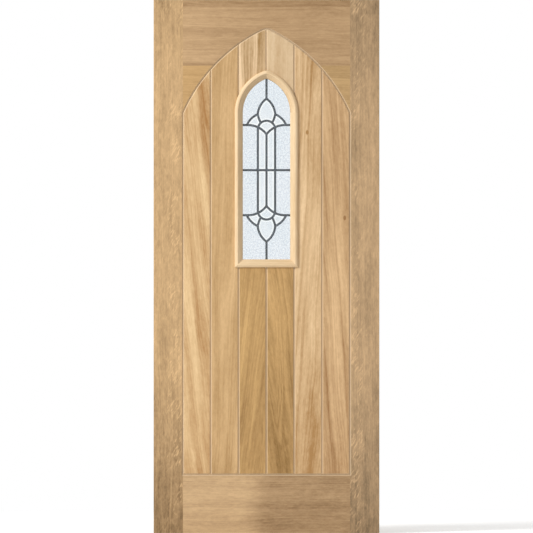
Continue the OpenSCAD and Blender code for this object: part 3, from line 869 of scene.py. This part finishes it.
@dataclass
class LeadedLight:
    """Lead cames, solder joints and cement of the light, in the motif's own lines. Millimetres."""

    outline: LightOutline
    came_w: float = 7.0
    rim_t: float = 0.55
    flange_t: float = 1.0
    heart_w: float = 1.6
    glass_gap: float = 0.18
    cement_w: float = 0.65
    cement_h: float = 0.4
    cement_under: float = 0.5
    cement_gap: float = 0.01
    border_out: float = 11.5
    bar_drop: float = 212.5
    wing_rise: float = 167.5
    upright_x: float = 32.0
    wing_x: float = 68.0
    wing_r: float = 84.0
    fan_r: float = 32.0
    fan_drop: float = 16.0
    bud_tip: float = 98.0
    bud_corner: Pair = (32.5, 40.0)
    bud_top_r: float = 78.0
    bud_foot: Pair = (21.0, 8.0)
    bud_low_r: float = 110.0
    petal_x: float = 73.0
    petal_r: float = 77.0
    solder_r: float = 4.4
    solder_h: float = 0.55
    solder_sink: float = 0.12
    steps: int = 25
    dome_steps: int = 9
    solder_rings: int = 8
    solder_turns: int = 24
    pieces: list[Object] = field(default_factory=list)

    @property
    def border(self) -> float:
        """Distance from the sight line out to the middle of the border came."""
        return self.border_out - self.came_w / 2

    @property
    def side(self) -> float:
        """Distance from the middle of the light to the middle of the border came."""
        return self.outline.half / MM + self.border

    def face(self) -> float:
        """Distance in metres from the middle of the leaf to the crown of a came."""
        low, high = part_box("came_lattice")
        return (high.y - low.y) / 2

    def arc(self, start: Pair, end: Pair, radius: float) -> np.ndarray:
        """Arc from start to end whose centre lies on the left of the way.

        The centre stands on the chord's bisector, back by the other leg of the right triangle that has
        the radius as its long side and half the chord as one leg.

        Args:
            start: First point.
            end: Last point.
            radius: Radius of the arc.

        Returns:
            Points along the arc.
        """
        a, b = np.array(start), np.array(end)
        chord = b - a
        half = np.linalg.norm(chord) / 2
        back = math.sqrt(radius ** 2 - half ** 2)
        centre = (a + b) / 2 + back * np.array([-chord[1], chord[0]]) / (2 * half)
        first, last = (math.atan2(*(p - centre)[::-1]) for p in (a, b))
        turn = np.linspace(first, first + math.remainder(last - first, math.tau), self.steps)
        return centre + radius * np.stack([np.cos(turn), np.sin(turn)], -1)

    def wing_z(self, x: float) -> float:
        """Height of the wing's arc over the wing line at a distance from the middle."""
        return math.sqrt(self.wing_r ** 2 - (self.wing_x - x) ** 2) - self.wing_r

    def fan_end(self) -> Pair:
        """Find where the fan's circle meets the wing's circle: on the chord that both circles share.

        Returns:
            The right end of the fan, in X and in Z over the wing line.
        """
        fan, wing = np.array([0.0, -self.fan_drop]), np.array([self.wing_x, -self.wing_r])
        apart = wing - fan
        span = np.linalg.norm(apart)
        reach = (span ** 2 + self.fan_r ** 2 - self.wing_r ** 2) / (2 * span)
        rise = math.sqrt(self.fan_r ** 2 - reach ** 2)
        x, z = fan + (reach * apart + rise * np.array([-apart[1], apart[0]])) / span
        return float(x), float(z)

    def motif(self) -> list[np.ndarray]:
        """Draw the right half of one motif but for its fan.

        Returns:
            Centre lines in X and in Z over the wing line.
        """
        upright_top = self.wing_z(self.upright_x)
        return [
            self.arc(self.bud_corner, (0.0, self.bud_tip), self.bud_top_r),
            self.arc(self.bud_foot, self.bud_corner, self.bud_low_r),
            self.arc((self.petal_x, 0.0), self.bud_corner, self.petal_r),
            self.arc((self.wing_x, 0.0), (0.0, self.wing_z(0.0)), self.wing_r),
            np.array([[self.wing_x, 0.0], [self.side, 0.0]]),
            np.array([[self.upright_x, -self.wing_rise], [self.upright_x, upright_top]]),
        ]

    def lines(self) -> list[np.ndarray]:
        """Draw every came inside the border: the crossbar, both motifs and the middle line.

        Returns:
            Centre lines in X and Z metres.
        """
        bar = self.outline.spring / MM - self.bar_drop
        top, sill = self.outline.point(self.border * MM) / MM, self.outline.sill / MM - self.border
        paths = [np.array([[-self.side, bar], [self.side, bar]])]
        x, z = self.fan_end()
        fan = self.arc((x, z), (-x, z), self.fan_r)
        halves = [line * (way, 1) for way in (1, -1) for line in self.motif()]
        tip, foot = self.wing_rise + self.bud_tip, self.wing_rise + self.wing_z(0.0)
        for up, end in ((1, top), (-1, sill)):
            paths += [(line + (0, self.wing_rise)) * (1, up) + (0, bar) for line in halves + [fan]]
            paths += [np.array([[0.0, bar + up * tip], [0.0, end]]),
                      np.array([[0.0, bar], [0.0, bar + up * foot]])]
        return [path * MM for path in paths]

    def section(self) -> tuple[np.ndarray, np.ndarray]:
        """H-shaped came: two flanges on a thin heart, domed as a parabola from rim to crown.

        Returns:
            Distances across the line, and depths from front to back, in metres.
        """
        face, half, heart = self.face(), self.came_w * MM / 2, self.heart_w * MM / 2
        inner = face - self.flange_t * MM
        rim = inner + self.rim_t * MM
        across = np.linspace(-half, half, self.dome_steps)
        dome = rim + (face - rim) * (1 - (across / half) ** 2)
        s = np.concatenate([across, [half, heart, heart, half],
                            across[::-1], [-half, -heart, -heart, -half]])
        d = np.concatenate([-dome, [-inner, -inner, inner, inner],
                            dome, [inner, inner, -inner, -inner]])
        return s, d

    def fillet(self) -> tuple[np.ndarray, np.ndarray]:
        """Cement wiped along a came's edge: a wedge on the glass with a tongue under the flange.

        Returns:
            Distances across the line, and depths, for the right edge of the back face, in metres.
        """
        under, edge = self.face() - self.flange_t * MM, self.came_w * MM / 2
        glass, tongue = under - self.glass_gap * MM, under - self.cement_gap * MM
        s = np.array([-self.cement_under, self.cement_w, self.cement_gap, self.cement_gap,
                      -self.cement_under])
        return edge + s * MM, np.array([glass, glass, under + self.cement_h * MM, tongue, tongue])

    def sweep(self, path: np.ndarray, s: np.ndarray, d: np.ndarray) -> Patch:
        """Carry a section along a centre line, square to it.

        Args:
            path: Centre line in X and Z.
            s: The section's distances across the line.
            d: The section's depths.

        Returns:
            The swept surface.
        """
        way = np.gradient(path, axis=0)
        way /= np.linalg.norm(way, axis=1, keepdims=True)
        normal = np.stack([-way[:, 1], way[:, 0]], -1)
        return Patch(stand(path[:, None] + s[None, :, None] * normal[:, None], d))

    def sweep_border(self, s: np.ndarray, d: np.ndarray) -> Patch:
        """Carry a section round the light's outline, mitred at the sill and rounded at the point."""
        return Patch(stand(self.outline.round(s + self.border * MM, 2 * self.steps), d), loop=True)

    def cement(self) -> list[Patch]:
        """Run cement along both edges and faces of every came, and along the inside of the border.

        Returns:
            The strips of cement.
        """
        s, d = self.fillet()
        strips = [self.sweep(path, way * s, face.value * d)
                  for path in self.lines() for way in (1, -1) for face in Face]
        return strips + [self.sweep_border(-s, face.value * d) for face in Face]

    def joints(self) -> np.ndarray:
        """Gather the meeting points of the lines, which agree to a hundredth of a millimetre.

        Returns:
            Points in X and Z metres.
        """
        bar = self.outline.spring - self.bar_drop * MM
        ends = np.concatenate([path[[0, -1]] for path in self.lines()] + [[[0.0, bar]]])
        return np.unique(ends.round(5), axis=0)

    def solder(self, point: np.ndarray, face: Face, number: int) -> Patch:
        """Flattened drop of solder: a dome whose height falls as (1 - r^2)^1.5 and whose rim is lobed.

        The rim swells by 6 % in three lobes and by 3 % in five, turned by the drop's number.

        Args:
            point: Place in X and Z.
            face: Side of the light.
            number: Sets the lobes of each drop apart.

        Returns:
            The drop's surface, closed underneath.
        """
        out, under = np.linspace(0.0, 1.0, self.solder_rings), -0.2
        r = np.concatenate([out, [0.0]])[:, None]
        h = np.concatenate([(1 - out ** 2) ** 1.5, [under]])[:, None]
        turn = np.linspace(0.0, math.tau, self.solder_turns + 1)[None, :-1]
        lobes = 0.06 * np.sin(3 * turn + number) + 0.03 * np.sin(5 * turn + 2.3 * number)
        rim = self.solder_r * MM * (1 + lobes)
        y = face.value * (self.face() + (self.solder_h * h - self.solder_sink) * MM)
        x, z = point[0] + r * rim * np.cos(turn), point[1] + r * rim * np.sin(turn)
        return Patch(np.stack([x, np.broadcast_to(y, x.shape), z], -1))

    def make(self) -> None:
        """Build the cames, their solder joints and their cement, each as one piece."""
        section = self.section()
        patches = [self.sweep(path, *section) for path in self.lines()]
        cames = build("lead_cames", patches + [self.sweep_border(*section)], sharp=50.0)
        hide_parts("came_lattice")
        drops = [self.solder(point, face, number)
                 for face in Face for number, point in enumerate(self.joints())]
        solder = build("solder_joints", drops, sharp=60.0, weld=True)
        cement = build("came_cement", self.cement(), sharp=30.0)
        for piece in (cames, solder, cement):
            self.pieces.append(piece)

    def finish(self, lead: Material, solder: Material, cement: Material) -> None:
        """Dress each piece of the leading.

        Args:
            lead: For the cames.
            solder: For the joints.
            cement: For the strips along the cames.
        """
        for piece, material in zip(self.pieces, (lead, solder, cement)):
            dress(piece, material)
            LOG.info("leading %s", piece.name)


@dataclass
class Joinery:
    """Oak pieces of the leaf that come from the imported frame."""

    finishes: dict[str, OakFinish]

    def finish(self) -> None:
        """Dress each piece in its own board of oak."""
        for node, oak in self.finishes.items():
            dress(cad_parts[node], oak.material(node, *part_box(node)))
            LOG.info("oak %s", node)


@dataclass
class SealedUnit:
    """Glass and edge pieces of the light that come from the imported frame."""

    finishes: dict[str, PlainFinish | GlassFinish]

    def finish(self) -> None:
        """Dress every node whose name ends in one of the keys."""
        for ending, finish in self.finishes.items():
            material = finish.material(ending.strip("_"))
            for name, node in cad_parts.items():
                if name.endswith(ending):
                    dress(node, material)
                    LOG.info("unit %s", name)


@dataclass
class Studio:
    """Pale floor, soft key light from the upper left, a weaker back light and a white surround.

    Lengths are in metres and angles in degrees.
    """

    board: PlainFinish
    floor_r: float = 2.6
    floor_hole: float = 0.02
    floor_drop: float = 0.5 * MM
    floor_rings: int = 12
    floor_turns: int = 96
    key_turn: float = 50.0
    key_rise: float = 30.0
    key_far: float = 8.0
    key_size: float = 2.0
    key_power: float = 530.0
    back_share: float = 0.6
    ambient: float = 0.51
    lens: float = 500.0
    fill: float = 0.9988
    sight: float = 200.0

    def floor(self) -> None:
        """Build the floor: a disc whose points are a radius and a turn about the middle."""
        shape = self.floor_rings, self.floor_turns
        r = np.linspace(self.floor_hole, 1.0, self.floor_rings)[:, None] * self.floor_r
        turn = np.linspace(0, math.tau, self.floor_turns + 1)[None, :-1]
        grid = np.stack([r * np.cos(turn), r * np.sin(turn), np.full(shape, -self.floor_drop)], -1)
        index = np.arange(grid[..., 0].size).reshape(shape)
        quads = quads_of(np.hstack([index, index[:, :1]]))
        mesh = bpy.data.meshes.new("studio_floor")
        mesh.from_pydata(grid.reshape(-1, 3).tolist(), [], quads.tolist() + [index[0].tolist()])
        floor = link("studio_floor", mesh)
        dress(floor, self.board.material("floor"))

    def lamp(self, name: str, turn: float, power: float) -> None:
        """Hang a square soft lamp that faces the middle of the leaf.

        Args:
            name: Name of the lamp.
            turn: Degrees round from the front towards the left.
            power: Watts.
        """
        light = bpy.data.lights.new(name, "AREA")
        light.energy, light.size = power, self.key_size
        lamp = link(name, light)
        a, e = math.radians(turn), math.radians(self.key_rise)
        way = Vector((-math.sin(a) * math.cos(e), -math.cos(a) * math.cos(e), math.sin(e)))
        lamp.location = Vector((0.0, 0.0, CAD_BOX[1][2] / 2)) + self.key_far * way
        lamp.rotation_euler = way.to_track_quat("Z", "Y").to_euler()
        lamp.visible_camera = False

    def surround(self) -> None:
        """Light evenly from all round, and show white to the camera, to gloss and through glass."""
        world = bpy.data.worlds.new("studio")
        bpy.context.scene.world = world
        world.use_nodes = True
        tree = world.node_tree
        tree.nodes.clear()
        path = add(tree, "LightPath").node.outputs
        seen = add(tree, "Math.MAXIMUM", path["Is Camera Ray"], path["Is Glossy Ray"])
        seen = add(tree, "Math.MAXIMUM", seen, path["Is Transmission Ray"])
        strength = add(tree, "MapRange", seen, links={3: self.ambient, 4: 1.0})
        glow = add(tree, "Background", linear("#ffffff"), strength)
        add(tree, "OutputWorld", glow)

    def camera(self) -> None:
        """Stand far back with a long lens, square to the front, so that the leaf fills the height."""
        low, high = CAD_BOX
        data = bpy.data.cameras.new("front")
        data.lens = self.lens
        data.clip_end = self.sight
        camera = link("front", data)
        height = high[2] - low[2]
        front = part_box("left_stile")[0].y
        away = self.fill * self.lens / data.sensor_width * height
        camera.location = (0.0, front - away, height / 2)
        camera.rotation_euler = (math.pi / 2, 0.0, 0.0)
        bpy.context.scene.camera = camera

    def make(self) -> None:
        """Set up floor, lamps, surround and camera."""
        self.floor()
        self.lamp("key", self.key_turn, self.key_power)
        self.lamp("back", 180.0 + self.key_turn, self.back_share * self.key_power)
        self.surround()
        self.camera()
        bpy.context.scene.view_settings.view_transform = "Standard"
        LOG.info("studio ready")


# Oiled oak is warm and satin, and each piece has its own board: its colours, rings, bands and drift.
OAK = {
    "left_stile": OakFinish(
        "#d7b282", "#604729", seed=11.0, base=0.3, figure=0.08, band=0.37, streak=0.3, fibre=0.15,
        mottle=0.45, ripple=0.82, fleck=0.48, foot=0.4, foot_fade=(0.0, 0.42), head=0.11,
        head_fade=(0.82, 1.0), inner=1.0),
    "right_stile": OakFinish(
        "#cca97f", "#433622", seed=23.0, base=0.3, figure=0.08, band=0.37, streak=0.3, fibre=0.15,
        mottle=0.45, ripple=0.74, fleck=0.384, foot=0.34, foot_fade=(0.0, 0.35), head=0.19,
        head_fade=(0.72, 1.0), inner=-1.0),
    "top_rail": OakFinish(
        "#c4a279", "#866642", Grain.ACROSS, seed=31.0, figure=0.1, band=0.5, fibre=0.5, head=-0.17,
        edges=(0.18, 0.3)),
    "left_spandrel": OakFinish("#cda774", "#967445", Grain.ACROSS, seed=37.0, figure=0.15, band=0.4),
    "right_spandrel": OakFinish("#c9a675", "#8c6d44", Grain.ACROSS, seed=41.0, figure=0.15, band=0.6),
    "bottom_rail": OakFinish(
        "#d9b78b", "#876947", Grain.ACROSS, seed=43.0, figure=0.08, band=0.3, streak=0.3, foot=0.38,
        foot_fade=(0.48, 0.64)),
    "board_1": OakFinish(
        "#e5c595", "#a27543", seed=51.0, lean=120.0, figure=0.15, band=1.4, foot=0.32,
        foot_fade=(0.0, 0.12), head=0.12, head_fade=(0.4, 0.7)),
    "board_2": OakFinish(
        "#d4b080", "#946f3d", seed=53.0, lean=-40.0, figure=0.12, foot=0.2, foot_fade=(0.0, 0.1)),
    "board_3_upper": OakFinish("#e8c9a1", "#977443", seed=57.0, figure=0.2, band=2.0, streak=1.0),
    "board_3_lower": OakFinish(
        "#caa36b", "#825f32", seed=59.0, pith=45.0, depth=50.0, taper=60.0, lean=-110.0, figure=0.16,
        foot=0.12, foot_fade=(0.0, 0.8)),
    "board_4_upper": OakFinish("#e0c6a1", "#b18e62", seed=61.0, figure=0.08, band=0.6, streak=0.35),
    "board_4_lower": OakFinish(
        "#d4ab72", "#816031", seed=67.0, pith=-30.0, depth=60.0, taper=-50.0, lean=130.0, figure=0.18,
        band=0.9, foot=0.24, foot_fade=(0.0, 1.0)),
    "board_5": OakFinish(
        "#eccca0", "#a37b4a", seed=71.0, lean=-60.0, figure=0.2, foot=0.38, foot_fade=(0.05, 0.42),
        head=0.2, head_fade=(0.58, 0.72), knot=(150.6, 1488.7, 4.0)),
    "board_6": OakFinish(
        "#deba8c", "#956e44", seed=73.0, base=0.43, lean=70.0, figure=0.2, band=1.2, foot=0.32,
        head=0.05, head_fade=(0.4, 0.56), knot=(290.2, 1170.9, 4.0)),
    "left_dowels": OakFinish("#d6b88c", "#b08d5e", Grain.ACROSS, seed=81.0, figure=0.1),
    "right_dowels": OakFinish("#d6b88c", "#b08d5e", Grain.ACROSS, seed=83.0, figure=0.1),
    "spandrel_splines": OakFinish("#cfae7c", "#a68456", Grain.ACROSS, seed=87.0, figure=0.1),
}
BEAD_OAK = OakFinish(
    "#e6cca6", "#bf9a69", Grain.FOLLOWS, seed=91.0, base=0.3, pith=300.0, figure=0.15, streak=0.6,
    fibre=0.8, mottle=0.5, ripple=0.3)

# Lead skins over with a dull blue-grey oxide, so it reads as matt slate and not as bright metal.
LEAD = PlainFinish("drawn lead, dulled", "#4e5963", "#3a444d", 0.65, cell=(5.0, 5.0, 5.0),
                   relief=0.1, specular=0.2)
# Solder stays a little smoother than the lead round it: the drops catch a faint gleam.
SOLDER = PlainFinish("tinned solder, patinated", "#4b5660", "#374149", 0.5, cell=(2.5, 2.5, 2.5),
                     relief=0.15, specular=0.3)
# Cement is brushed on with lamp black: a flat dark line that sets each came off from the glass.
CEMENT = PlainFinish("brushed whiting cement, blacked", "#20262b", "#181d21", 0.9,
                     cell=(1.5, 1.5, 1.5), relief=0.05, specular=0.1)
# The roller's dimples are cool, and their cloudy mottle is painted light in place of what they
# refract.
# Cells are half as big again as the real ones, so that they show.
STIPPLED = GlassFinish("rolled stippled glass", "#f4f7fa", "#dee4ec", 6.0, 0.2)
# Polished flats are clear and faintly blue; their ground and polished slopes get a painted white
# highlight.
BEVELLED = GlassFinish("ground and polished glass", "#e2e7ed", "#d9e0e8", 30.0, 0.02,
                       painted_highlight_depths=(-3.75, -3.3), painted_bevel_highlight="#fbfdfe")
# Float glass is flat and almost colourless. The edge parts are dull and dark, but for the bright
# spacers and pins.
UNIT = {
    "_pane": GlassFinish("float glass", "#fdfefe", "#fbfdfd", 120.0, 0.01),
    "_quarry": STIPPLED,
    "_bud": BEVELLED,
    "_petal": BEVELLED,
    "_fan": BEVELLED,
    "_strip": BEVELLED,
    "_spacer": PlainFinish("rolled aluminium", "#c9cdd0", "#aeb3b7", 0.35, 0.9, (2.0, 2.0, 40.0)),
    "edge_seal": PlainFinish("extruded sealant", "#2f2f31", "#232325", 0.7),
    "_tape": PlainFinish("closed-cell foam", "#424243", "#333334", 0.85, cell=(1.2, 1.2, 1.2),
                         relief=0.1),
    "setting_blocks": PlainFinish("moulded plastic", "#5c6671", "#4f5963", 0.5),
    "back_bead_pins": PlainFinish("drawn bright steel", "#9b9892", "#807d77", 0.3, 0.9,
                                  (0.5, 8.0, 0.5)),
}
# Matt white paint hides the board under it: the floor reads as plain paper.
FLOOR_BOARD = PlainFinish("matt painted board", "#fbfbfa", "#f8f8f7", 0.9, cell=(400.0, 400.0, 400.0))


def main() -> None:
    """Build and dress every sub-assembly and set the studio up."""
    logging.basicConfig(level=logging.INFO, format="%(name)s %(message)s")
    outline = LightOutline.from_frame()
    Joinery(OAK).finish()
    bead_oak = BEAD_OAK.material("bead", *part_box("front_bead_left"))
    for face in Face:
        ring = BeadRing(face, outline)
        ring.make()
        ring.finish(bead_oak)
    leading = LeadedLight(outline)
    leading.make()
    leading.finish(LEAD.material("came"), SOLDER.material("joint"), CEMENT.material("fillet"))
    SealedUnit(UNIT).finish()
    Studio(FLOOR_BOARD).make()
    LOG.info("sizes written")


if __name__ == "__main__":
    main()
